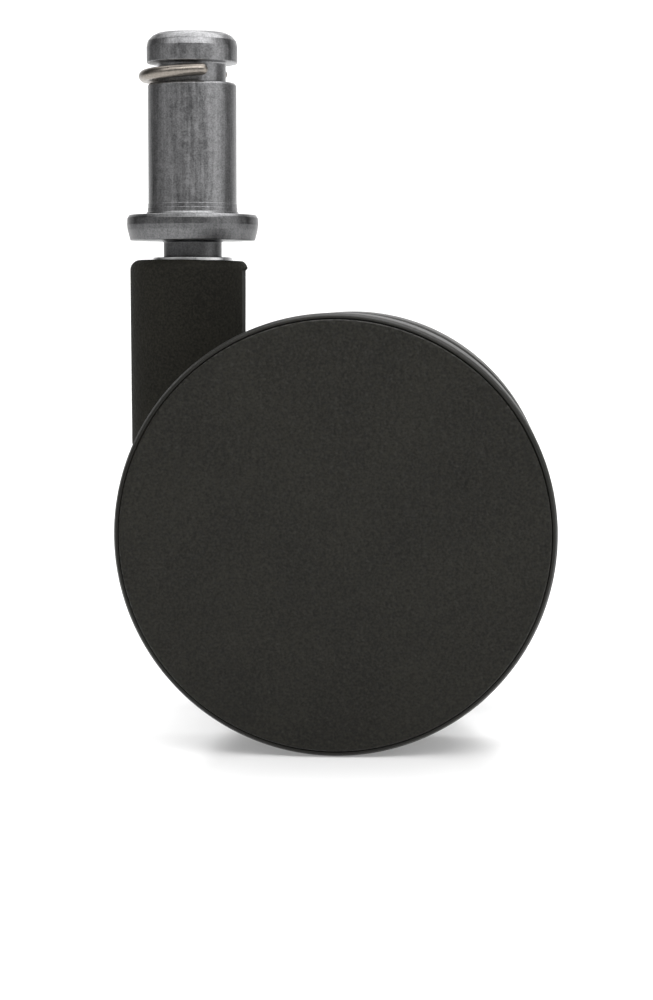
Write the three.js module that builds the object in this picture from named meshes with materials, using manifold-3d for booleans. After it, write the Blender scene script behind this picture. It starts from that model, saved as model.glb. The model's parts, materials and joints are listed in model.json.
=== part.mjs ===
// Hooded twin-wheel chair caster with a grip-ring stem.
// Units are millimetres, +Z is up. The origin is on the stem's axis, on the top of its shoulder.
// The stem stands at x = 0 and the wheels trail towards +X. "right" parts lie towards -Y, "left" parts towards +Y.
import * as THREE from 'three';
import { mergeVertices } from 'three/addons/utils/BufferGeometryUtils.js';
import Module from 'manifold-3d';

const wasm = await Module();
wasm.setup();

// ---- driving dimensions ----
const AXLE_X = 18.4;
const AXLE_Z = -36.7;

const STEM = { headR: 5.45, bodyR: 5.32, ringGrooveR: 4.05, top: 21.7, headBottom: 18.1, bodyTop: 15.7 };
const FLANGE = { r: 7.92, t: 3.1 };
const NECK = { r: 3.5, end: -25.2 };
const LOCK_GROOVE = { r: 2.7, top: -21.3, bottom: -22.7 };

const GRIP = { wireR: 0.72, meanR: 5.3, offsetX: -0.4, z: 16.9, tiltDeg: 3.6, fromDeg: 48, toDeg: 293 };
const LOCK_RING = { inner: 3.0, outer: 4.6, t: 0.8, z: -22.4, gapDeg: 44 };

const BOSS = { x: -0.45, r: 7.1, top: -5.4, bottom: -28.8, flatX: 6.3, lipZ: -6.7 };
const SOCKET = { r: 5.2, floor: -26.8, flangeR: 5.9, flangeFloor: -6.5 };
const SLEEVE = { inner: 3.8, outer: 4.9, flangeR: 5.6, top: -5.5, flangeT: 0.7, bottom: -21.2, lipR: 4.8, lipTop: -5.1 };
const DISC = { r: 4.9, top: -25.5, t: 1.0 };

const HOOD = { rimY: 23.2, rimEdgeR: 29.95, rimR: 30.2, crownR: 31.0, wellR: 27.9, wellDeepR: 28.3 };
const WEB_HALF = 3.6;
const HUB = { r: 8.0, half: 6.4, bore: 3.3 };

const AXLE = { r: 3.0, half: 20.6, grooveR: 2.4, groove: 18.1, grooveW: 1.4 };
const CLIP = { inner: 2.7, outer: 5.4, t: 0.8, y: 18.4, gapDeg: 70 };
const WASHER = { inner: 3.3, outer: 6.6, from: 6.7, to: 7.6 };
const BUSH = { inner: 3.3, outer: 4.2, from: 7.9, to: 18.1 };
const CORE = { bore: 4.5, hubR: 6.5, rimIn: 20.0, rimOut: 22.3, from: 7.9, to: 22.9, hubTo: 17.8 };
const TREAD = { inner: 22.6, r: 25.05, from: 7.7, to: 23.3, shoulder: 0.7 };
const COVER = { r: 24.5, back: 23.6, face: 24.5, skirtIn: 18.4, skirtOut: 19.7, skirtTo: 19.5 };
const RIBS = { count: 6, t: 1.4, to: 16.5 };

// ---- finishes ----
const finish = (color, roughness, metalness) => ({ color, roughness, metalness });
const ZINC = finish(0xa9abad, 0.32, 1.0);
const SPRING = finish(0xb3aca3, 0.3, 1.0);
const STEEL = finish(0x8b8d90, 0.4, 1.0);
const NYLON = finish(0x252422, 0.55, 0.0);
const COVER_NYLON = finish(0x2b2a28, 0.6, 0.0);
const TREAD_NYLON = finish(0x2a2927, 0.5, 0.0);
const ACETAL = finish(0xd8d4c8, 0.5, 0.0);

// ---- helpers ----
const rad = (deg) => (deg * Math.PI) / 180;

// A turned solid about Z (or about Y when axis is 'y') from [radius, height] points.
// A profile that does not start and end on the axis is closed on itself.
function turned(profile, segments = 64, axis = 'z') {
  let points = profile.map(([r, h]) => new THREE.Vector2(r, h));
  if (THREE.ShapeUtils.area(points) < 0) points = points.reverse();
  const onAxis = points[0].x === 0 && points[points.length - 1].x === 0;
  if (!onAxis) points.push(points[0].clone());
  const geometry = new THREE.LatheGeometry(points, segments);
  return axis === 'z' ? geometry.rotateX(Math.PI / 2) : geometry;
}

// A plate cut to an XZ outline and reaching from y0 to y1.
function plateAlongY(outline, y0, y1) {
  const shape = new THREE.Shape(outline.map(([x, z]) => new THREE.Vector2(x, z)));
  const geometry = new THREE.ExtrudeGeometry(shape, { depth: y1 - y0, bevelEnabled: false });
  return geometry.rotateX(Math.PI / 2).translate(0, y1, 0);
}

// A flat open ring lying in XY, from z = 0 up to its thickness, with its gap centred on +X.
function openRing(inner, outer, thickness, gapDeg) {
  const half = rad(gapDeg / 2);
  const shape = new THREE.Shape();
  shape.absarc(0, 0, outer, half, 2 * Math.PI - half, false);
  shape.absarc(0, 0, inner, 2 * Math.PI - half, half, true);
  shape.closePath();
  const options = { depth: thickness, bevelEnabled: false, curveSegments: 20 };
  return new THREE.ExtrudeGeometry(shape, options);
}

function toManifold(geometry) {
  const bare = geometry.clone();
  bare.deleteAttribute('normal');
  bare.deleteAttribute('uv');
  const merged = mergeVertices(bare, 1e-4);
  const index = merged.index.array;
  const triangles = [];
  for (let i = 0; i < index.length; i += 3) {
    const [a, b, c] = [index[i], index[i + 1], index[i + 2]];
    if (a !== b && b !== c && c !== a) triangles.push(a, b, c);
  }
  return new wasm.Manifold(new wasm.Mesh({
    numProp: 3,
    vertProperties: new Float32Array(merged.attributes.position.array),
    triVerts: new Uint32Array(triangles),
  }));
}

function toGeometry(manifold) {
  const mesh = manifold.getMesh();
  const geometry = new THREE.BufferGeometry();
  geometry.setAttribute('position', new THREE.BufferAttribute(new Float32Array(mesh.vertProperties), 3));
  geometry.setIndex(new THREE.BufferAttribute(new Uint32Array(mesh.triVerts), 1));
  geometry.computeVertexNormals();
  return geometry;
}

function node(name, geometry, look) {
  const mesh = new THREE.Mesh(geometry, new THREE.MeshStandardMaterial(look));
  mesh.name = name;
  return mesh;
}

// ---- stem group ----
function buildStem() {
  const { headR, bodyR, ringGrooveR, top, headBottom, bodyTop } = STEM;
  const groove = LOCK_GROOVE;
  return turned([
    [0, NECK.end], [1.7, NECK.end + 0.12], [2.9, NECK.end + 0.6], [NECK.r, NECK.end + 1.4],
    [NECK.r, groove.bottom], [groove.r, groove.bottom], [groove.r, groove.top], [NECK.r, groove.top],
    [NECK.r, -FLANGE.t], [7.5, -FLANGE.t], [7.8, -2.65], [FLANGE.r, -1.75], [7.9, -0.8], [7.75, -0.25],
    [7.45, 0], [5.87, 0], [5.62, 0.08], [5.44, 0.28], [5.35, 0.6], [bodyR, 1.1],
    [bodyR, bodyTop - 0.3], [bodyR - 0.3, bodyTop], [ringGrooveR, bodyTop], [ringGrooveR, headBottom],
    [headR - 0.2, headBottom], [headR, headBottom + 0.2], [headR, top - 1.65], [5.34, top - 1.15],
    [5.0, top - 0.65], [4.5, top - 0.22], [3.8, top], [0, top],
  ], 48);
}

// A spring-wire C ring lying loose in the stem's groove, a little to one side and tilted.
function buildGripRing() {
  const points = [];
  for (let k = 0; k <= 24; k += 1) {
    const a = rad(GRIP.fromDeg + ((GRIP.toDeg - GRIP.fromDeg) * k) / 24);
    points.push(new THREE.Vector3(GRIP.meanR * Math.cos(a), GRIP.meanR * Math.sin(a), 0));
  }
  const wire = new THREE.Shape();
  wire.absarc(0, 0, GRIP.wireR, 0, 2 * Math.PI, false);
  const path = new THREE.CatmullRomCurve3(points);
  const geometry = new THREE.ExtrudeGeometry(wire, { steps: 40, extrudePath: path, curveSegments: 6 });
  return geometry.rotateY(rad(-GRIP.tiltDeg)).translate(GRIP.offsetX, 0, GRIP.z);
}

// ---- body moulding: hood over both wheels, middle web, stem boss and axle hub in one piece ----
function buildBody() {
  const hood = turned([
    [0, -HOOD.rimY], [HOOD.rimEdgeR, -HOOD.rimY], [HOOD.rimR, -HOOD.rimY + 0.35], [30.62, -17], [30.9, -9],
    [HOOD.crownR, 0], [30.9, 9], [30.62, 17], [HOOD.rimR, HOOD.rimY - 0.35], [HOOD.rimEdgeR, HOOD.rimY],
    [0, HOOD.rimY],
  ], 96, 'y');
  const well = turned([
    [0, WEB_HALF], [HOOD.wellDeepR, WEB_HALF], [HOOD.wellR, HOOD.rimY - 0.4],
    [HOOD.wellR + 0.35, HOOD.rimY], [HOOD.wellR + 0.35, HOOD.rimY + 2], [0, HOOD.rimY + 2],
  ], 96, 'y');
  let body = toManifold(hood.translate(AXLE_X, 0, AXLE_Z));
  for (const turn of [0, Math.PI]) {
    const side = well.clone().rotateZ(turn).translate(AXLE_X, 0, AXLE_Z);
    body = body.subtract(toManifold(side));
  }

  // What lies below the hood's open ends, as seen from the side, taken from the axle's centre.
  const belowShell = [
    [-40, 0.5], [-33, -3.0], [-29.8, -4.9], [-29.35, -5.35], [-28.8, -5.9], [-28.1, -6.35], [-27.0, -6.5],
    [-26.2, -5.9], [-25, -4], [25, -4], [26.8, -5.1], [27.4, -5.95], [28.2, -6.5], [28.6, -6.35],
    [29.3, -5.85], [30.2, -4.6], [40, -3.0], [40, -40], [-40, -40],
  ];
  const belowWeb = [
    [-40, -5.0], [-31.0, -6.2], [-30.6, -7.2], [-30.0, -8.1], [-29.2, -8.45], [-28.3, -8.25],
    [-27.4, -7.65], [-25, -6.7], [0, -5.7], [25.6, -4.9], [28.1, -5.15], [40, -5.4], [40, -40], [-40, -40],
  ];
  const cut = (outline, y0, y1) => toManifold(plateAlongY(outline, y0, y1).translate(AXLE_X, 0, AXLE_Z));
  body = body.subtract(cut(belowWeb, -WEB_HALF - 0.002, WEB_HALF + 0.002));
  body = body.subtract(cut(belowShell, WEB_HALF, 30));
  body = body.subtract(cut(belowShell, -30, -WEB_HALF));

  const { x, r, top, bottom } = BOSS;
  const bossPost = turned([
    [0, bottom], [r - 1.5, bottom], [r - 0.15, bottom + 1.2], [r - 0.1, bottom + 2], [r, top - 1.3],
    [r - 0.15, top - 0.7], [r - 0.6, top - 0.2], [r - 1.2, top], [0, top],
  ], 48).translate(x, 0, 0);
  const flat = new THREE.BoxGeometry(4, 8, 30).translate(BOSS.flatX + 2, 0, BOSS.lipZ - 15);
  const boss = toManifold(bossPost).subtract(toManifold(flat));
  const hub = turned([
    [0, -HUB.half], [HUB.r - 0.5, -HUB.half], [HUB.r, -HUB.half + 0.5], [HUB.r, HUB.half - 0.5],
    [HUB.r - 0.5, HUB.half], [0, HUB.half],
  ], 48, 'y').translate(AXLE_X, 0, AXLE_Z);
  body = body.add(boss).add(toManifold(hub));

  const socket = turned([
    [0, SOCKET.floor], [SOCKET.r, SOCKET.floor], [SOCKET.r, SOCKET.flangeFloor],
    [SOCKET.flangeR, SOCKET.flangeFloor], [SOCKET.flangeR, top + 1], [0, top + 1],
  ], 40);
  const bore = turned([[0, -8], [HUB.bore, -8], [HUB.bore, 8], [0, 8]], 32, 'y');
  body = body.subtract(toManifold(socket));
  body = body.subtract(toManifold(bore.translate(AXLE_X, 0, AXLE_Z)));
  return toGeometry(body);
}

function buildSleeve() {
  const { inner, outer, flangeR, top, flangeT, bottom, lipR, lipTop } = SLEEVE;
  return turned([
    [inner, bottom], [outer, bottom], [outer, top - flangeT], [flangeR, top - flangeT], [flangeR, top],
    [lipR, top], [lipR, lipTop], [inner + 0.2, lipTop], [inner, lipTop - 0.2],
  ], 40);
}

function buildAxle() {
  const { r, half, grooveR, groove, grooveW } = AXLE;
  const end = [
    [r, groove], [grooveR, groove], [grooveR, groove + grooveW], [r, groove + grooveW],
    [r, half - 0.5], [r - 0.5, half], [0, half],
  ];
  const mirrored = end.map(([radius, y]) => [radius, -y]).reverse();
  return turned([...mirrored, ...end], 32, 'y').translate(AXLE_X, 0, AXLE_Z);
}

// ---- wheel parts, made for the +Y side ----
function buildCore() {
  const { bore, hubR, rimIn, rimOut, from, to, hubTo } = CORE;
  const drum = turned([
    [bore, from], [hubR + 0.4, from], [hubR + 0.7, from + 0.3], [rimOut - 0.5, from + 0.3],
    [rimOut, from + 0.8], [rimOut, to], [rimIn, to], [rimIn, 10.6], [hubR + 0.5, 10.4], [hubR, 11],
    [hubR, hubTo], [bore, hubTo],
  ], 48, 'y');
  let core = toManifold(drum);
  const length = rimIn - hubR + 0.6;
  for (let k = 0; k < RIBS.count; k += 1) {
    const rib = new THREE.BoxGeometry(length, RIBS.to - 9.8, RIBS.t);
    rib.translate(hubR - 0.3 + length / 2, (RIBS.to + 9.8) / 2, 0).rotateY((2 * Math.PI * k) / RIBS.count);
    core = core.add(toManifold(rib));
  }
  return toGeometry(core);
}

function buildTread() {
  const { inner, r, from, to, shoulder } = TREAD;
  const outerEdge = [];
  for (let k = 0; k <= 4; k += 1) {
    const a = rad(22.5 * k);
    outerEdge.push([r - shoulder + shoulder * Math.cos(a), to - shoulder + shoulder * Math.sin(a)]);
  }
  return turned([
    [inner, from + 0.2], [inner + 0.3, from], [r - 0.7, from], [r - 0.2, from + 0.3], [r, from + 1],
    ...outerEdge, [inner, to],
  ], 72, 'y');
}

function buildCover() {
  const { r, back, face, skirtIn, skirtOut, skirtTo } = COVER;
  return turned([
    [0, back], [skirtIn, back], [skirtIn, skirtTo], [skirtOut, skirtTo], [skirtOut, back],
    [r, back], [r, face - 0.15], [r - 0.15, face], [0, face],
  ], 72, 'y');
}

function buildTube({ inner, outer, from, to }, segments) {
  return turned([[inner, from], [outer, from], [outer, to], [inner, to]], segments, 'y');
}

function buildClip() {
  const ring = openRing(CLIP.inner, CLIP.outer, CLIP.t, CLIP.gapDeg);
  return ring.rotateX(Math.PI / 2).translate(0, CLIP.y + CLIP.t, 0);
}

// ---- assembly ----
const caster = new THREE.Group();
caster.name = 'chair_caster';

const stemGroup = new THREE.Group();
stemGroup.name = 'stem_group';
const lockRing = openRing(LOCK_RING.inner, LOCK_RING.outer, LOCK_RING.t, LOCK_RING.gapDeg);
stemGroup.add(
  node('stem', buildStem(), ZINC),
  node('grip_ring', buildGripRing(), SPRING),
  node('stem_lock_ring', lockRing.translate(0, 0, LOCK_RING.z), SPRING),
);

const bodyGroup = new THREE.Group();
bodyGroup.name = 'body_group';
const thrustDisc = new THREE.CylinderGeometry(DISC.r, DISC.r, DISC.t, 40).rotateX(Math.PI / 2);
bodyGroup.add(
  node('hood_body', buildBody(), NYLON),
  node('swivel_sleeve', buildSleeve(), STEEL),
  node('thrust_disc', thrustDisc.translate(0, 0, DISC.top - DISC.t / 2), STEEL),
  node('axle', buildAxle(), STEEL),
);
caster.add(stemGroup, bodyGroup);

for (const [side, turn] of [['left', 0], ['right', Math.PI]]) {
  const place = (geometry) => geometry.rotateZ(turn).translate(AXLE_X, 0, AXLE_Z);
  bodyGroup.add(
    node(`axle_washer_${side}`, place(buildTube(WASHER, 32)), ACETAL),
    node(`axle_clip_${side}`, place(buildClip()), SPRING),
  );
  const wheel = new THREE.Group();
  wheel.name = `wheel_${side}`;
  wheel.add(
    node(`wheel_core_${side}`, place(buildCore()), NYLON),
    node(`wheel_tread_${side}`, place(buildTread()), TREAD_NYLON),
    node(`wheel_cover_${side}`, place(buildCover()), COVER_NYLON),
    node(`hub_bush_${side}`, place(buildTube(BUSH, 32)), ACETAL),
  );
  caster.add(wheel);
}

export default caster;
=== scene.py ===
import json
import math

import bpy
import bmesh
from mathutils import Matrix, Vector


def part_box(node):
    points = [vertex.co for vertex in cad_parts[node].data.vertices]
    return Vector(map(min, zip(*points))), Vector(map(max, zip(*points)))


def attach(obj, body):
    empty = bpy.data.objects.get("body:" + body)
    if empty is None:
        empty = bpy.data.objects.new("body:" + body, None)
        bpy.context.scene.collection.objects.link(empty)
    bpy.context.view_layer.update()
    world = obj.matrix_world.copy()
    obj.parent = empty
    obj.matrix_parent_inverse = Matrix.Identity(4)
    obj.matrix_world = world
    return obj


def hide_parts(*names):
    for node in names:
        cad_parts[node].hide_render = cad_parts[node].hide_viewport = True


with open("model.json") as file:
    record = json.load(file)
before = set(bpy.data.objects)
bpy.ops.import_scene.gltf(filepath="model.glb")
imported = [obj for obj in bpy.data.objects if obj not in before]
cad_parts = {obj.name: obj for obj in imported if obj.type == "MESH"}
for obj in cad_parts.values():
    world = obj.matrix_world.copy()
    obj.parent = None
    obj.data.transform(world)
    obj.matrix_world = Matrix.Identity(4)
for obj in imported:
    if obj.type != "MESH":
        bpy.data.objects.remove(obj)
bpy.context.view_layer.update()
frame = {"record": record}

MM = 0.001
TAU = 2 * math.pi
JOINTS = {j["name"]: j for j in frame["record"]["behaviour"]["joints"]}
AXLE = Vector(JOINTS["wheel_left_roll"]["pos_m"]) / MM
AXLE.y = 0.0
FLOOR_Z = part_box("wheel_tread_right")[0][2]


# ---------------------------------------------------------------- profiles
def rounded(corners, step=4):
    """Points along a profile of (radius, height, fillet) corners, all in mm; fillet may be left out."""
    points = []
    count = len(corners)
    for i, corner in enumerate(corners):
        here = Vector(corner[:2])
        fillet = corner[2] if len(corner) > 2 else 0
        before, after = Vector(corners[i - 1][:2]), Vector(corners[(i + 1) % count][:2])
        if not fillet:
            points.append(here)
            continue
        a, b = (before - here), (after - here)
        half = a.angle(b) / 2
        reach = min(fillet / math.tan(half), a.length * 0.49, b.length * 0.49)
        radius = reach * math.tan(half)
        start, end = here + a.normalized() * reach, here + b.normalized() * reach
        centre = here + (a.normalized() + b.normalized()).normalized() * (radius / math.sin(half))
        u, v = start - centre, end - centre
        for k in range(step + 1):
            t = k / step
            points.append(centre + (u * (1 - t) + v * t).normalized() * radius)
    return [(p.x, p.y) for p in points]


def signed_area(points):
    return sum(
        x0 * y1 - x1 * y0 for (x0, y0), (x1, y1) in zip(points, points[1:] + points[:1])
    ) / 2


# ---------------------------------------------------------------- mesh makers
def new_object(name, bm, smooth_deg=32):
    bmesh.ops.recalc_face_normals(bm, faces=bm.faces)
    mesh = bpy.data.meshes.new(name)
    bm.to_mesh(mesh)
    bm.free()
    mesh.shade_smooth()
    mesh.set_sharp_from_angle(angle=math.radians(smooth_deg))
    obj = bpy.data.objects.new(name, mesh)
    bpy.context.scene.collection.objects.link(obj)
    return obj


def skin_between(bm, row, after, k, n):
    """The face between places k and n of two rings, either of which may be a single point."""
    corners = [row[k % len(row)], row[n % len(row)], after[n % len(after)], after[k % len(after)]]
    unique = list(dict.fromkeys(corners))
    if len(unique) > 2:
        bm.faces.new(unique)


def turned_bmesh(profile, axis="z", centre=(0, 0, 0), segments=128, warp=None):
    """A turned solid from a closed list of (radius, height) points in mm, about Z or Y through centre."""
    if signed_area(profile) < 0:
        profile = profile[::-1]
    bm = bmesh.new()
    rows = []
    for radius, height in profile:
        row = []
        for k in range(1 if radius < 1e-6 else segments):
            a = TAU * k / segments
            c, s = radius * math.cos(a), radius * math.sin(a)
            p = Vector((c, s, height)) if axis == "z" else Vector((c, height, s))
            if warp:
                p = warp(p)
            row.append(bm.verts.new((p + Vector(centre)) * MM))
        rows.append(row)
    for i, row in enumerate(rows):
        after = rows[(i + 1) % len(rows)]
        if len(row) == 1 and len(after) == 1:
            continue
        for k in range(segments):
            n = (k + 1) % segments
            skin_between(bm, row, after, k, n)
    return bm


def turned(name, profile, axis="z", centre=(0, 0, 0), segments=128, smooth_deg=32):
    return new_object(name, turned_bmesh(profile, axis, centre, segments), smooth_deg)


def plate_bmesh(outline, low, high, place, bevel=0.0, bevel_steps=3):
    """A plate with softened edges. place(u, v, w) puts outline point (u, v) at depth w, all in mm."""
    bm = bmesh.new()
    faces = []
    for w in (low, high):
        verts = [bm.verts.new(Vector(place(u, v, w)) * MM) for u, v in outline]
        faces.append((verts, bm.faces.new(verts)))
    (bottom, _), (top, _) = faces
    count = len(outline)
    for k in range(count):
        n = (k + 1) % count
        bm.faces.new([bottom[k], bottom[n], top[n], top[k]])
    bmesh.ops.recalc_face_normals(bm, faces=bm.faces)
    if bevel:
        rims = [e for _, face in faces for e in face.edges]
        bmesh.ops.bevel(bm, geom=rims, offset=bevel * MM, segments=bevel_steps, profile=0.5, affect="EDGES")
    return bm


def wire_bmesh(points, radius, sides=20, cap_steps=5):
    """A round wire through points in mm, with domed ends."""
    path = [Vector(p) for p in points]
    tangents = []
    for i in range(len(path)):
        tangents.append((path[min(i + 1, len(path) - 1)] - path[max(i - 1, 0)]).normalized())
    stations = []
    for k in range(cap_steps):
        a = math.pi / 2 * k / cap_steps
        stations.append((path[0] - tangents[0] * radius * math.cos(a), tangents[0], radius * math.sin(a)))
    stations += [(p, t, radius) for p, t in zip(path, tangents)]
    for k in range(cap_steps - 1, -1, -1):
        a = math.pi / 2 * k / cap_steps
        stations.append((path[-1] + tangents[-1] * radius * math.cos(a), tangents[-1], radius * math.sin(a)))
    bm = bmesh.new()
    side = tangents[0].orthogonal().normalized()
    rows = []
    for centre, tangent, r in stations:
        side = (side - tangent * side.dot(tangent)).normalized()
        up = tangent.cross(side)
        if r < 1e-6:
            rows.append([bm.verts.new(centre * MM)])
            continue
        angles = [TAU * k / sides for k in range(sides)]
        ring = [centre + (side * math.cos(a) + up * math.sin(a)) * r for a in angles]
        rows.append([bm.verts.new(p * MM) for p in ring])
    for row, after in zip(rows, rows[1:]):
        for k in range(sides):
            n = (k + 1) % sides
            skin_between(bm, row, after, k, n)
    return bm


def combine(name, base, additions=(), cuts=(), smooth_deg=32):
    """base with additions joined on and cuts taken out, as one closed mesh."""
    obj = new_object(name, base, smooth_deg)
    helpers = []
    for operation, shapes in (("UNION", additions), ("DIFFERENCE", cuts)):
        for bm in shapes:
            helper = new_object(f"{name}_helper", bm)
            helpers.append(helper)
            modifier = obj.modifiers.new("cut", "BOOLEAN")
            modifier.operation, modifier.solver, modifier.object = operation, "EXACT", helper
    depsgraph = bpy.context.evaluated_depsgraph_get()
    mesh = bpy.data.meshes.new_from_object(obj.evaluated_get(depsgraph))
    obj.modifiers.clear()
    obj.data = mesh
    for helper in helpers:
        bpy.data.objects.remove(helper)
    bm = bmesh.new()
    bm.from_mesh(mesh)
    bmesh.ops.remove_doubles(bm, verts=bm.verts, dist=0.002 * MM)
    bmesh.ops.dissolve_degenerate(bm, edges=bm.edges, dist=0.001 * MM)
    bm.to_mesh(mesh)
    bm.free()
    mesh.shade_smooth()
    mesh.set_sharp_from_angle(angle=math.radians(smooth_deg))
    mesh.name = name
    return obj


def open_ring_outline(inner, outer, gap_deg, steps=72):
    """The outline of a flat C ring with its gap centred on +u."""
    half = math.radians(gap_deg / 2)
    span = TAU - 2 * half
    out = [(outer * math.cos(half + span * k / steps), outer * math.sin(half + span * k / steps))
           for k in range(steps + 1)]
    back = [(inner * math.cos(TAU - half - span * k / steps), inner * math.sin(TAU - half - span * k / steps))
            for k in range(steps + 1)]
    return out + back


# ---------------------------------------------------------------- materials
class Nodes:
    """Short hand for building one material's node tree."""

    def __init__(self, name):
        self.material = bpy.data.materials.new(name)
        self.material.use_nodes = True
        self.tree = self.material.node_tree
        self.shader = self.tree.nodes["Principled BSDF"]
        coords = self.tree.nodes.new("ShaderNodeTexCoord")
        self.coords = coords.outputs["Object"]

    def link(self, a, b):
        self.tree.links.new(a, b)

    def scaled(self, scale):
        node = self.tree.nodes.new("ShaderNodeMapping")
        node.inputs["Scale"].default_value = scale
        self.link(self.coords, node.inputs["Vector"])
        return node.outputs["Vector"]

    def noise(self, size_mm, detail=2.0, rough=0.5, vector=None):
        node = self.tree.nodes.new("ShaderNodeTexNoise")
        node.inputs["Scale"].default_value = 1 / (size_mm * MM)
        node.inputs["Detail"].default_value = detail
        node.inputs["Roughness"].default_value = rough
        self.link(vector or self.coords, node.inputs["Vector"])
        return node.outputs["Fac"]

    def cells(self, size_mm):
        node = self.tree.nodes.new("ShaderNodeTexVoronoi")
        node.feature = "SMOOTH_F1"
        node.inputs["Scale"].default_value = 1 / (size_mm * MM)
        self.link(self.coords, node.inputs["Vector"])
        return node.outputs["Distance"]

    def ramp(self, fac, stops):
        node = self.tree.nodes.new("ShaderNodeValToRGB")
        while len(node.color_ramp.elements) < len(stops):
            node.color_ramp.elements.new(0.5)
        for element, (at, value) in zip(node.color_ramp.elements, stops):
            colour = value if isinstance(value, tuple) else (value,) * 3
            element.position, element.color = at, (*colour, 1)
        self.link(fac, node.inputs["Fac"])
        return node.outputs["Color"]

    def math(self, operation, a, b):
        node = self.tree.nodes.new("ShaderNodeMath")
        node.operation = operation
        for socket, value in zip(node.inputs, (a, b)):
            if isinstance(value, (int, float)):
                socket.default_value = value
            else:
                self.link(value, socket)
        return node.outputs["Value"]

    def bump(self, height, depth_mm, under=None):
        node = self.tree.nodes.new("ShaderNodeBump")
        node.inputs["Strength"].default_value = 1.0
        node.inputs["Distance"].default_value = depth_mm * MM
        self.link(height, node.inputs["Height"])
        if under:
            self.link(under, node.inputs["Normal"])
        return node.outputs["Normal"]

    def height(self):
        node = self.tree.nodes.new("ShaderNodeSeparateXYZ")
        self.link(self.coords, node.inputs["Vector"])
        return node.outputs["Z"]

    def darkened(self, colour, where, factor):
        """The colour as it is, but multiplied by the factor wherever the mask is one."""
        scale = self.math("SUBTRACT", 1.0, self.math("MULTIPLY", where, 1.0 - factor))
        node = self.tree.nodes.new("ShaderNodeVectorMath")
        node.operation = "SCALE"
        self.link(colour, node.inputs["Vector"])
        self.link(scale, node.inputs["Scale"])
        return node.outputs["Vector"]

    def set(self, **values):
        names = {"metal": "Metallic", "specular": "Specular IOR Level", "rough": "Roughness",
                 "glow": "Emission Strength"}
        for key, value in values.items():
            self.shader.inputs[names[key]].default_value = value

    def feed(self, socket, output):
        self.link(output, self.shader.inputs[socket])


def moulded(name, dark, light, rough, grain_mm, grain_depth, specular, fine_depth=0.01):
    """Black moulded plastic: pebbled grain over a finer spark-eroded texture, with slight colour drift."""
    n = Nodes(name)
    pebble = n.cells(grain_mm)
    drift = n.noise(9.0, 3.0, 0.55)
    speck = n.noise(0.26, 1.0, 0.6)
    mixed = n.math("ADD", n.math("MULTIPLY", drift, 0.25), n.math("MULTIPLY", speck, 0.75))
    n.feed("Base Color", n.ramp(mixed, [(0.36, dark), (0.64, light)]))
    rough_mix = n.math("ADD", n.math("MULTIPLY", pebble, 0.5), n.math("MULTIPLY", drift, 0.5))
    n.feed("Roughness", n.ramp(rough_mix, [(0.2, rough - 0.06), (0.75, rough + 0.08)]))
    fine = n.bump(n.noise(0.2, 3.0, 0.6), fine_depth)
    relief = n.math("ADD", pebble, n.math("MULTIPLY", n.noise(grain_mm * 1.7, 2.0), 0.6))
    n.feed("Normal", n.bump(relief, grain_depth, under=fine))
    n.set(specular=specular)
    return n.material


def turned_steel(name, colour_low, colour_high, rough, line_mm, line_depth, axis="z", painted_shade_below=()):
    """Turned steel: lathe lines round its axis, streaks along it, and a mottled, specked plating.

    The painted-shade list holds (height in mm, factor) pairs; below each height the colour is multiplied by
    the factor, a painted shade for the shade and dark reflections under the flange.
    """
    n = Nodes(name)
    if axis == "z":
        along_axis, round_axis = (1.0, 1.0, 0.04), (0.03, 0.03, 1.0)
    else:
        along_axis, round_axis = (1.0, 0.04, 1.0), (0.03, 1.0, 0.03)
    lines = n.noise(line_mm, 3.0, 0.65, n.scaled(round_axis))
    streaks = n.noise(0.34, 2.0, 0.6, n.scaled(along_axis))
    mottle = n.noise(0.8, 4.0, 0.62)
    specks = n.noise(0.2, 2.0, 0.7)
    tone = n.math("ADD", n.math("MULTIPLY", mottle, 0.25), n.math("MULTIPLY", specks, 0.5))
    tone = n.math("ADD", tone, n.math("MULTIPLY", streaks, 0.25))
    colour = n.ramp(tone, [(0.38, colour_low), (0.62, colour_high)])
    # Painted shade: the colour is darker below each listed height, standing in for the shade and dark
    # reflections under the flange.
    for below_mm, factor in painted_shade_below:
        colour = n.darkened(colour, n.math("LESS_THAN", n.height(), below_mm * MM), factor)
    n.feed("Base Color", colour)
    dull = n.math("ADD", n.math("MULTIPLY", mottle, 0.5), n.math("MULTIPLY", streaks, 0.5))
    n.feed("Roughness", n.ramp(dull, [(0.3, rough - 0.06), (0.75, rough + 0.12)]))
    grit = n.bump(specks, 0.002)
    n.feed("Normal", n.bump(lines, line_depth, under=grit))
    n.set(metal=1.0)
    return n.material


def smooth_plastic(name, low, high, rough):
    """Pale plastic with a faint cloudiness."""
    n = Nodes(name)
    cloud = n.noise(3.0, 3.0)
    n.feed("Base Color", n.ramp(cloud, [(0.35, low), (0.65, high)]))
    n.feed("Roughness", n.ramp(cloud, [(0.3, rough - 0.05), (0.7, rough + 0.05)]))
    n.feed("Normal", n.bump(n.noise(0.35, 3.0), 0.004))
    return n.material


STEEL_DARK, STEEL_LIGHT = (0.38, 0.385, 0.39), (0.52, 0.52, 0.53)
# Painted shade on the stem: darker below the shoulder, and darker again down the neck, for the shade and dark
# reflections of the hood and flange above it.
STEM_PAINTED_SHADE = [(-0.3, 0.6), (-3.2, 0.6)]

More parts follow.
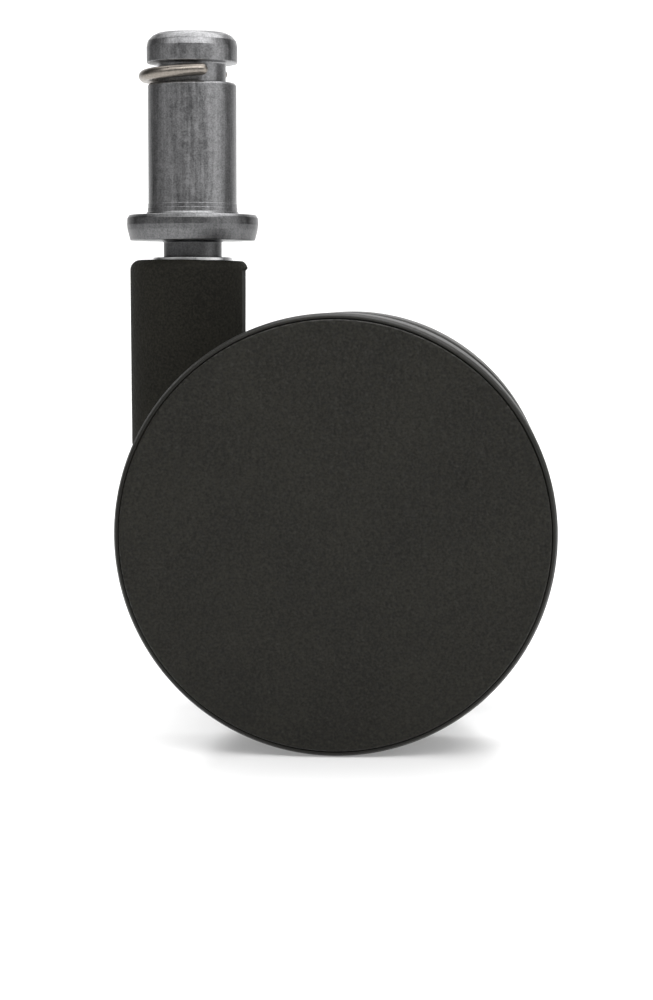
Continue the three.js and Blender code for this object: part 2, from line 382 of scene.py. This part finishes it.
MATERIALS = {
    "hood_nylon": moulded("hood_nylon", (0.0052, 0.0049, 0.0034), (0.0156, 0.0147, 0.0105), 0.78, 0.4, 0.06,
                          specular=0.17),
    "core_nylon": moulded("core_nylon", (0.0060, 0.0057, 0.0048), (0.0085, 0.0081, 0.0070), 0.5, 0.4, 0.02,
                          specular=0.2),
    "tread_pu": moulded("tread_pu", (0.0082, 0.0078, 0.0060), (0.0108, 0.0102, 0.0080), 0.45, 0.35, 0.012,
                        specular=0.26),
    "cover_nylon": moulded("cover_nylon", (0.0046, 0.0043, 0.0030), (0.0148, 0.0140, 0.0100), 0.52, 0.5, 0.2,
                           fine_depth=0.04, specular=0.22),
    "zinc_plated_steel": turned_steel("zinc_plated_steel", (0.165, 0.166, 0.17), (0.31, 0.31, 0.315), 0.34,
                                      0.11, 0.003, painted_shade_below=STEM_PAINTED_SHADE),
    "spring_steel": turned_steel("spring_steel", (0.2, 0.18, 0.16), (0.29, 0.262, 0.23), 0.3, 0.3, 0.0006),
    "plain_steel": turned_steel("plain_steel", STEEL_DARK, STEEL_LIGHT, 0.34, 0.12, 0.003),
    "bearing_steel": turned_steel("bearing_steel", (0.7, 0.705, 0.71), (0.84, 0.84, 0.85), 0.3, 0.12, 0.002),
    "axle_steel": turned_steel("axle_steel", STEEL_DARK, STEEL_LIGHT, 0.34, 0.12, 0.003, "y"),
    "acetal": smooth_plastic("acetal", (0.62, 0.6, 0.54), (0.72, 0.7, 0.64), 0.4),
}


def finish_piece(obj, body, slot, *nodes, material=None):
    """Gives a piece its material, named by the slot unless another is given, puts it on its body and hides
    the CAD nodes it replaces.
    """
    obj.data.materials.clear()
    obj.data.materials.append(MATERIALS[material or slot])
    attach(obj, body)
    if nodes:
        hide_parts(*nodes)
    return obj


# ---------------------------------------------------------------- stem, its rings and its bearing
def make_stem():
    low, high = (c[2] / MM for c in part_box("stem"))
    flange, body, head, groove, neck = 7.92, 5.32, 5.45, 4.05, 3.5
    profile = rounded([
        (0, low), (2.6, low, 1.2), (neck, low + 1.5, 0.5), (neck, -22.7, 0.08), (2.7, -22.7, 0.1),
        (2.7, -21.3, 0.1), (neck, -21.3, 0.08), (neck, -3.3, 0.15), (3.75, -3.06, 0.1), (7.52, -3.06, 0.12),
        (7.84, -1.8, 0.5), (flange, -1.2, 0.4), (7.88, -0.4, 0.3), (7.62, 0, 0.16),
        (5.84, 0, 0.06), (5.56, 0.1, 0.12), (5.5, 0.34, 0.06), (5.41, 0.38, 0.04), (5.41, 0.82, 0.04),
        (5.36, 0.86, 0.03), (5.36, 1.32, 0.03), (body, 1.36, 0.03), (body, 15.42, 0.1),
        (body - 0.22, 15.7, 0.08), (groove + 0.1, 15.7, 0.1), (groove, 15.85, 0.05),
        (groove, 17.95, 0.05), (groove + 0.1, 18.1, 0.1),
        (head - 0.1, 18.1, 0.05), (head, 18.22, 0.06), (head, 20.05, 0.3), (5.3, 20.75, 0.4),
        (4.75, 21.35, 0.3), (4.1, high - 0.03, 0.25), (3.6, high, 0.2), (0, high),
    ])
    return turned("stem_turned", profile, segments=192, smooth_deg=40)


def make_grip_ring():
    mean, wire, offset, height, tilt = 5.3, 0.72, -0.4, JOINTS["grip_ring_turn"]["pos_m"][2] / MM, 3.6
    turn = Matrix.Rotation(math.radians(-tilt), 3, "Y")
    first_deg, last_deg, steps = 48, 293, 96
    points = []
    for k in range(steps + 1):
        a = math.radians(first_deg + (last_deg - first_deg) * k / steps)
        flat = Vector((mean * math.cos(a), mean * math.sin(a), 0))
        points.append(turn @ flat + Vector((offset, 0, height)))
    return new_object("grip_ring_wire", wire_bmesh(points, wire, 28), 40)


def make_lock_ring():
    low, high = (c[2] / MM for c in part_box("stem_lock_ring"))
    outline = open_ring_outline(3.0, 4.6, 44)
    bm = plate_bmesh(outline, low, high, lambda u, v, w: (u, v, w), 0.12)
    return new_object("stem_lock_ring_spring", bm)


def make_sleeve():
    low, high = (c[2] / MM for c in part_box("swivel_sleeve"))
    seat = high - 0.4
    profile = rounded([
        (3.8, low + 5), (3.8, low, 0.1), (4.9, low, 0.15), (4.9, seat - 0.7, 0.1), (5.6, seat - 0.7, 0.1),
        (5.6, seat, 0.12), (4.8, seat, 0.08), (4.8, high, 0.09), (4.0, high, 0.08), (3.8, high - 0.2, 0.06),
    ])
    return turned("swivel_sleeve_bush", profile, segments=128)


def make_thrust_disc():
    low, high = (c[2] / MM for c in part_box("thrust_disc"))
    profile = rounded([(0, low), (4.9, low, 0.15), (4.9, high, 0.15), (0, high)])
    return turned("thrust_disc_plate", profile, segments=96)


# ---------------------------------------------------------------- body moulding
RIM_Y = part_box("hood_body")[1][1] / MM
RIM_OUTER, RIM_INNER, WELL_DEEP = 29.9, 27.8, 28.7
EDGE = 0.3
HALF_ACROSS = 20
RIGHT_DEG, LEFT_DEG = -12.0, 193.0
ARCH_SWELL = 0.05
DRAW_IN_SPAN = 55.0
RIGHT_DRAW_IN, LEFT_DRAW_IN = 0.3, 0.6


def eased(distance, softness):
    """The distance where it is positive and nothing where it is negative, with a soft turn between."""
    return (distance + math.hypot(distance, softness)) / 2


def right_end_deg(r):
    """The right end of the shell, a blunt tip that falls back on both sides."""
    tip_r, softness = 28.7, 0.4
    return -14.0 + 1.5 * eased(tip_r - r, softness) + 1.8 * eased(r - tip_r, softness)


def left_end_deg(r):
    """The left end of the shell, level inside and chamfered towards the outside."""
    return 194.25 - 2.5 * eased(r - 28.5, 0.8)


def arch_shape(deg):
    """How far the arch swells beyond a true circle, or is drawn in near its ends, in mm."""
    right = max(0.0, 1 - (deg - RIGHT_DEG) / DRAW_IN_SPAN)
    left = max(0.0, 1 - (LEFT_DEG - deg) / DRAW_IN_SPAN)
    return ARCH_SWELL - RIGHT_DRAW_IN * right ** 2 - LEFT_DRAW_IN * left ** 2


def crown_radius(y, deg):
    """The hood's outside: crowned across its width, and drawn in a little near the ends of its arch."""
    middle_r, drop, drop_at, swell_ends = 31.0, 0.78, 22.85, 23.6
    shape = arch_shape(deg)
    at_rim = min(0.0, shape)
    crown = middle_r - drop * (abs(y) / drop_at) ** 2.2
    return crown + at_rim + (shape - at_rim) * (1 - (abs(y) / swell_ends) ** 3)


def nearness(distance, span):
    """0 up to the start of a span, 1 from its end on, and straight between them."""
    return min(1.0, max(0.0, distance) / span)


def hood_section(deg):
    """The hood's section at one angle: outside points, the turn over the +Y rim, and inside points."""
    rim_depth, off_centre, right_thicker, left_thicker, left_flare = 0.55, 0.14, 0.3, 0.14, 0.3
    y_edge = RIM_Y - rim_depth
    ys = [y_edge * math.sin(math.radians(90 * k / HALF_ACROSS)) for k in range(-HALF_ACROSS, HALF_ACROSS + 1)]
    outside = [(crown_radius(y, deg), y) for y in ys]
    flare = max(0.0, deg - 187.5) / 5.5
    inner_rim = RIM_INNER - off_centre * math.cos(math.radians(deg)) - right_thicker * nearness(20 - deg, 20)
    inner_rim -= left_thicker * nearness(deg - 160, 20) + left_flare * flare ** 2
    outer_rim = RIM_OUTER + min(0.0, arch_shape(deg)) * 0.8
    inside = [(inner_rim + (WELL_DEEP - inner_rim) * (1 - (y / y_edge) ** 4), y) for y in ys]
    turn = [(outer_rim + 0.13, RIM_Y - 0.3), (outer_rim + 0.04, RIM_Y - 0.15),
            (outer_rim - 0.11, RIM_Y - 0.04), (outer_rim - 0.32, RIM_Y), ((outer_rim + inner_rim) / 2, RIM_Y),
            (inner_rim + 0.42, RIM_Y), (inner_rim + 0.2, RIM_Y - 0.05), (inner_rim + 0.05, RIM_Y - 0.2)]
    return outside, turn, inside


def hood_shell_bmesh():
    """The arched shell, swept round the axle and closed at each end by a softly edged cap."""
    bm = bmesh.new()

    def vert(r, y, deg):
        a = math.radians(deg)
        return bm.verts.new(Vector((AXLE.x + r * math.cos(a), y, AXLE.z + r * math.sin(a))) * MM)

    def end_angle(r, y, is_right):
        smile = 1 - (abs(y) / RIM_Y) ** 2
        if is_right:
            return right_end_deg(r) + 1.6 * smile
        return left_end_deg(r) + 2.8 * smile

    def station(lift, inset, is_right=None, mix=None):
        """One ring of the sweep. lift is its distance short of an end, and mix its place between the ends."""
        deg = RIGHT_DEG + (LEFT_DEG - RIGHT_DEG) * (mix if mix is not None else (0 if is_right else 1))
        outside, turn, inside = hood_section(deg)
        loop = outside + turn + inside[::-1] + [(r, -y) for r, y in turn[::-1]]
        ring = []
        count = len(loop)
        for i, (r, y) in enumerate(loop):
            if inset:
                (r0, y0), (r1, y1) = loop[i - 1], loop[(i + 1) % count]
                tangent = Vector((r1 - r0, y1 - y0)).normalized()
                r, y = r - tangent.y * inset, y + tangent.x * inset
            right, left = end_angle(r, y, True), end_angle(r, y, False)
            if mix is not None:
                at = right + (left - right) * mix
            else:
                at = right + math.degrees(lift / r) if is_right else left - math.degrees(lift / r)
            ring.append((r, y, at))
        return ring

    rings = []
    rolls = [90, 72, 54, 36, 18, 0]
    for roll in rolls:
        a = math.radians(roll)
        rings.append(station(EDGE * (1 - math.sin(a)), EDGE * (1 - math.cos(a)), True))
    steps = 200
    for k in range(1, steps):
        rings.append(station(0, 0, mix=0.004 + 0.992 * k / steps))
    for roll in rolls[::-1]:
        a = math.radians(roll)
        rings.append(station(EDGE * (1 - math.sin(a)), EDGE * (1 - math.cos(a)), False))
    rows = [[vert(*p) for p in ring] for ring in rings]
    count = len(rows[0])
    for row, after in zip(rows, rows[1:]):
        for k in range(count):
            n = (k + 1) % count
            bm.faces.new([row[k], row[n], after[n], after[k]])

    across, bands = 2 * HALF_ACROSS + 1, 6
    turn_count = (count - 2 * across) // 2
    for row, ring, is_right in ((rows[0], rings[0], True), (rows[-1], rings[-1], False)):
        outer = list(range(across))
        inner = [2 * across + turn_count - 1 - k for k in range(across)]
        columns = []
        for o, i in zip(outer, inner):
            column = [row[o]]
            for m in range(1, bands):
                t = m / bands
                r = ring[o][0] * (1 - t) + ring[i][0] * t
                y = ring[o][1] * (1 - t) + ring[i][1] * t
                column.append(vert(r, y, end_angle(r, y, is_right)))
            columns.append(column + [row[i]])
        for left, right in zip(columns, columns[1:]):
            for a, b, c, d in zip(left, right, right[1:], left[1:]):
                bm.faces.new([a, b, c, d])
        bm.faces.new(columns[-1] + row[across:across + turn_count][::-1])
        bm.faces.new(columns[0][::-1] + row[2 * across + turn_count:][::-1])
    bmesh.ops.recalc_face_normals(bm, faces=bm.faces)
    return bm


def web_bmesh():
    """The middle web, a plate between the wheels, with a rounded toe at its leading end."""
    top_r, right_deg, left_deg = 30.4, -9.0, 192.5
    arc = []
    for k in range(97):
        a = math.radians(right_deg + (left_deg - right_deg) * k / 96)
        arc.append((top_r * math.cos(a), top_r * math.sin(a)))
    toe = [(-29.55, -8.85, 0.4), (-28.6, -8.75, 0.8), (-25.8, -6.85, 2.0)]
    outline = rounded([(18, -5.1), (25.6, -4.9), *arc, *toe], 5)
    return plate_bmesh(outline, -3.6, 3.6, lambda u, v, w: (AXLE.x + u, w, AXLE.z + v), 0.45, 4)


def boss_bmesh():
    top, bottom, radius, flat_x, lip = -5.4, -28.8, 7.1, 6.65, -6.75
    corners = [(0, bottom), (radius - 0.1, bottom, 1.5), (radius - 0.1, bottom + 4)]
    heights = [-22, -18, -14, -10, -8.5, -7.6, -7.2, lip - 0.1, lip, lip + 0.1]
    corners += [(radius - 0.1 + 0.1 * (h - bottom) / (lip - bottom), h) for h in heights]
    shoulder = 1.2
    for deg in range(0, 91, 10):
        a = math.radians(deg)
        corners.append((radius - shoulder * (1 - math.cos(a)), top - shoulder * (1 - math.sin(a))))
    corners.append((0, top))

    def flatten(p):
        ease = min(1.0, max(0.0, (lip + 0.3 - p.z) / 0.3))
        ease = ease * ease * (3 - 2 * ease)
        if p.x > flat_x and p.z < lip + 0.3:
            p.x += (flat_x - p.x) * ease
        return p

    return turned_bmesh(rounded(corners, 8), centre=(-0.45, 0, 0), segments=160, warp=flatten)


def make_body():
    hub = turned_bmesh(rounded([(0, -6.4), (8.0, -6.4, 0.5), (8.0, 6.4, 0.5), (0, 6.4)]), "y", AXLE, 128)
    socket = turned_bmesh(rounded([
        (0, -26.8), (5.2, -26.8, 0.2), (5.2, -6.5, 0.1), (5.9, -6.5, 0.1), (5.9, -5.75, 0.1), (6.3, -5.2),
        (6.3, -4.0), (0, -4.0),
    ]), segments=128)
    bore = turned_bmesh([(0, -8), (3.3, -8), (3.3, 8), (0, 8)], "y", AXLE, 96)
    return combine("hood_and_boss", hood_shell_bmesh(), [web_bmesh(), boss_bmesh(), hub], [socket, bore], 35)


# ---------------------------------------------------------------- axle and wheels
def make_axle():
    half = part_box("axle")[1][1] / MM
    end = [(3.0, 18.1, 0.06), (2.4, 18.1, 0.06), (2.4, 19.5, 0.06), (3.0, 19.5, 0.06),
           (3.0, half - 0.5, 0.15), (2.5, half, 0.15), (0, half)]
    corners = [(r, -y, *f) for r, y, *f in end[::-1]] + end
    return turned("axle_pin", rounded(corners), "y", AXLE, 96)


def along(side, profile):
    return [(r, side * y) for r, y in profile]


def make_wheel(name, side):
    body = f"wheel_{name}"
    cover_face = abs(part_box(f"wheel_cover_{name}")[0 if side < 0 else 1][1]) / MM
    tread_in = min(abs(c[1]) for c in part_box(f"wheel_tread_{name}")) / MM

    tread = rounded([
        (22.4, tread_in + 0.1), (22.9, tread_in, 0.2), (24.3, tread_in, 0.5), (25.0, tread_in + 0.75, 0.9),
        (25.05, tread_in + 3, 4.0), (25.05, 22.4, 0.5), (25.0, 23.3, 0.6), (24.74, 24.02, 0.45),
        (24.42, 24.06, 0.08), (24.37, 23.6, 0.05), (23.9, 23.4), (22.4, 23.4), (22.4, 20), (22.4, 10),
    ], 6)
    piece = turned(f"wheel_tread_{name}_ring", along(side, tread), "y", AXLE, 288, 40)
    finish_piece(piece, body, "tread_pu", f"wheel_tread_{name}")

    cover = rounded([
        (0, 23.6), (18.4, 23.6, 0.2), (18.4, 19.5, 0.15), (19.7, 19.5, 0.15), (19.7, 23.5, 0.1),
        (24.22, 23.5, 0.05), (24.33, cover_face - 0.2, 0.06), (24.2, cover_face - 0.04, 0.12),
        (23.8, cover_face, 0.3), (0, cover_face),
    ], 6)
    piece = turned(f"wheel_cover_{name}_disc", along(side, cover), "y", AXLE, 288, 40)
    finish_piece(piece, body, "cover_nylon", f"wheel_cover_{name}")

    core = rounded([
        (4.5, 12), (4.5, 7.9, 0.2), (6.7, 7.9, 0.15), (7.1, 8.2, 0.3), (21.8, 8.2, 0.2), (22.3, 8.7, 0.4),
        (22.3, 22.9, 0.2), (20.0, 22.9, 0.2), (20.0, 10.6, 0.8), (7.0, 10.4, 0.5), (6.5, 11.0, 0.3),
        (6.5, 17.8, 0.2), (4.5, 17.8, 0.1),
    ])
    ribs, rib_count = [], 6
    for k in range(rib_count):
        a = TAU * k / rib_count
        rib = [(6.2, 9.9), (20.2, 9.9), (20.2, 16.5), (6.2, 16.5)]

        def place(u, v, w, a=a):
            across, up = u * math.cos(a) - w * math.sin(a), u * math.sin(a) + w * math.cos(a)
            return (AXLE.x + across, side * v, AXLE.z + up)

        ribs.append(plate_bmesh(rib, -0.7, 0.7, place, 0.15, 2))
    piece = combine(f"wheel_core_{name}_drum", turned_bmesh(along(side, core), "y", AXLE, 144), ribs)
    finish_piece(piece, body, "core_nylon", f"wheel_core_{name}")

    tube = rounded([(3.3, 12), (3.3, 7.9, 0.1), (4.2, 7.9, 0.12), (4.2, 18.1, 0.12), (3.3, 18.1, 0.12)])
    piece = turned(f"hub_bush_{name}_liner", along(side, tube), "y", AXLE, 96)
    finish_piece(piece, body, "acetal", f"hub_bush_{name}")

    ring = rounded([(3.3, 7.1), (3.3, 6.7, 0.1), (6.6, 6.7, 0.15), (6.6, 7.6, 0.15), (3.3, 7.6, 0.1)])
    piece = turned(f"axle_washer_{name}_ring", along(side, ring), "y", AXLE, 96)
    finish_piece(piece, "caster_body", "acetal", f"axle_washer_{name}")

    outline = open_ring_outline(2.7, 5.4, 70)
    bm = plate_bmesh(outline, 18.4, 19.2, lambda u, v, w: (AXLE.x + side * u, side * w, AXLE.z + v), 0.12)
    piece = new_object(f"axle_clip_{name}_spring", bm)
    finish_piece(piece, "caster_body", "spring_steel", f"axle_clip_{name}")


finish_piece(make_stem(), "stem", "zinc_plated_steel", "stem")
finish_piece(make_lock_ring(), "stem", "spring_steel", "stem_lock_ring")
finish_piece(make_grip_ring(), "grip_ring", "spring_steel", "grip_ring")
finish_piece(make_body(), "caster_body", "hood_nylon", "hood_body")
finish_piece(make_sleeve(), "caster_body", "plain_steel", "swivel_sleeve", material="bearing_steel")
finish_piece(make_thrust_disc(), "caster_body", "plain_steel", "thrust_disc")
finish_piece(make_axle(), "caster_body", "plain_steel", "axle", material="axle_steel")
make_wheel("left", 1)
make_wheel("right", -1)


# ---------------------------------------------------------------- floor, light and camera
def make_floor():
    """A pale floor that curves up into a backdrop far behind the object."""
    bm = bmesh.new()
    near, far, bend, top, half = -2.5, 2.2, 1.2, 2.6, 4.0
    path = [(near, 0.0), (far, 0.0)]
    for deg in range(6, 91, 6):
        a = math.radians(deg)
        path.append((far + bend * math.sin(a), bend * (1 - math.cos(a))))
    path.append((far + bend, top))
    rows = [[bm.verts.new((x, y, FLOOR_Z + z)) for x in (-half, half)] for y, z in path]
    for (a, b), (d, c) in zip(rows, rows[1:]):
        bm.faces.new([a, b, c, d])
    mesh = bpy.data.meshes.new("floor")
    bm.to_mesh(mesh)
    bm.free()
    mesh.shade_smooth()
    floor = bpy.data.objects.new("floor", mesh)
    bpy.context.scene.collection.objects.link(floor)
    n = Nodes("floor_white")
    n.feed("Base Color", n.ramp(n.noise(180.0, 2.0), [(0.3, (0.86, 0.86, 0.86)), (0.7, (0.88, 0.88, 0.88))]))
    n.shader.inputs["Emission Color"].default_value = (1, 1, 1, 1)
    n.set(rough=0.16, specular=0.12, glow=0.25)
    floor.data.materials.append(n.material)


def area_light(name, at, aim, size, power):
    data = bpy.data.lights.new(name, "AREA")
    data.shape, data.size, data.size_y = "RECTANGLE", size[0], size[1]
    data.energy = power
    light = bpy.data.objects.new(name, data)
    light.location = at
    light.rotation_euler = (Vector(aim) - Vector(at)).to_track_quat("-Z", "Y").to_euler()
    bpy.context.scene.collection.objects.link(light)


def make_light():
    aim = (0.01, 0, -0.02)
    area_light("top_box", (0.1, 0.14, 0.7), aim, (0.9, 0.7), 5.0)
    area_light("front_top", (0.05, -0.55, 0.5), aim, (0.7, 0.4), 3.2)
    area_light("right_top", (0.45, -0.42, 0.4), aim, (0.3, 0.4), 1.4)
    area_light("left_top", (-0.42, -0.36, 0.4), aim, (0.3, 0.4), 0.85)
    area_light("right_side", (0.6, -0.15, 0.1), aim, (0.4, 0.6), 0.8)
    area_light("left_side", (-0.6, -0.2, 0.1), aim, (0.4, 0.6), 0.2)
    area_light("backdrop", (0, 1.6, 1.9), (0, 3.2, 0.6), (3.0, 1.0), 54.0)
    area_light("floor_back", (0, 0.9, 1.6), (0, 1.0, FLOOR_Z), (2.5, 1.2), 14.0)
    world = bpy.data.worlds.new("studio")
    world.use_nodes = True
    world.node_tree.nodes["Background"].inputs["Color"].default_value = (1, 1, 1, 1)
    world.node_tree.nodes["Background"].inputs["Strength"].default_value = 0.06
    bpy.context.scene.world = world
    bpy.context.scene.view_settings.view_transform = "Standard"


def make_camera():
    """Nearly level, from above and to the right of the axle, turned slightly towards the stem."""
    data = bpy.data.cameras.new("camera")
    data.lens, data.sensor_width = 93.9, 36.0
    camera = bpy.data.objects.new("camera", data)
    camera.location = (0.03359, -0.31513, -0.01054)
    yaw, pitch = -0.0552, 0.0755
    ahead = Vector((math.sin(yaw) * math.cos(pitch), math.cos(yaw) * math.cos(pitch), -math.sin(pitch)))
    camera.rotation_euler = ahead.to_track_quat("-Z", "Y").to_euler()
    data.clip_start = 0.01
    bpy.context.scene.collection.objects.link(camera)
    bpy.context.scene.camera = camera


make_floor()
make_light()
make_camera()
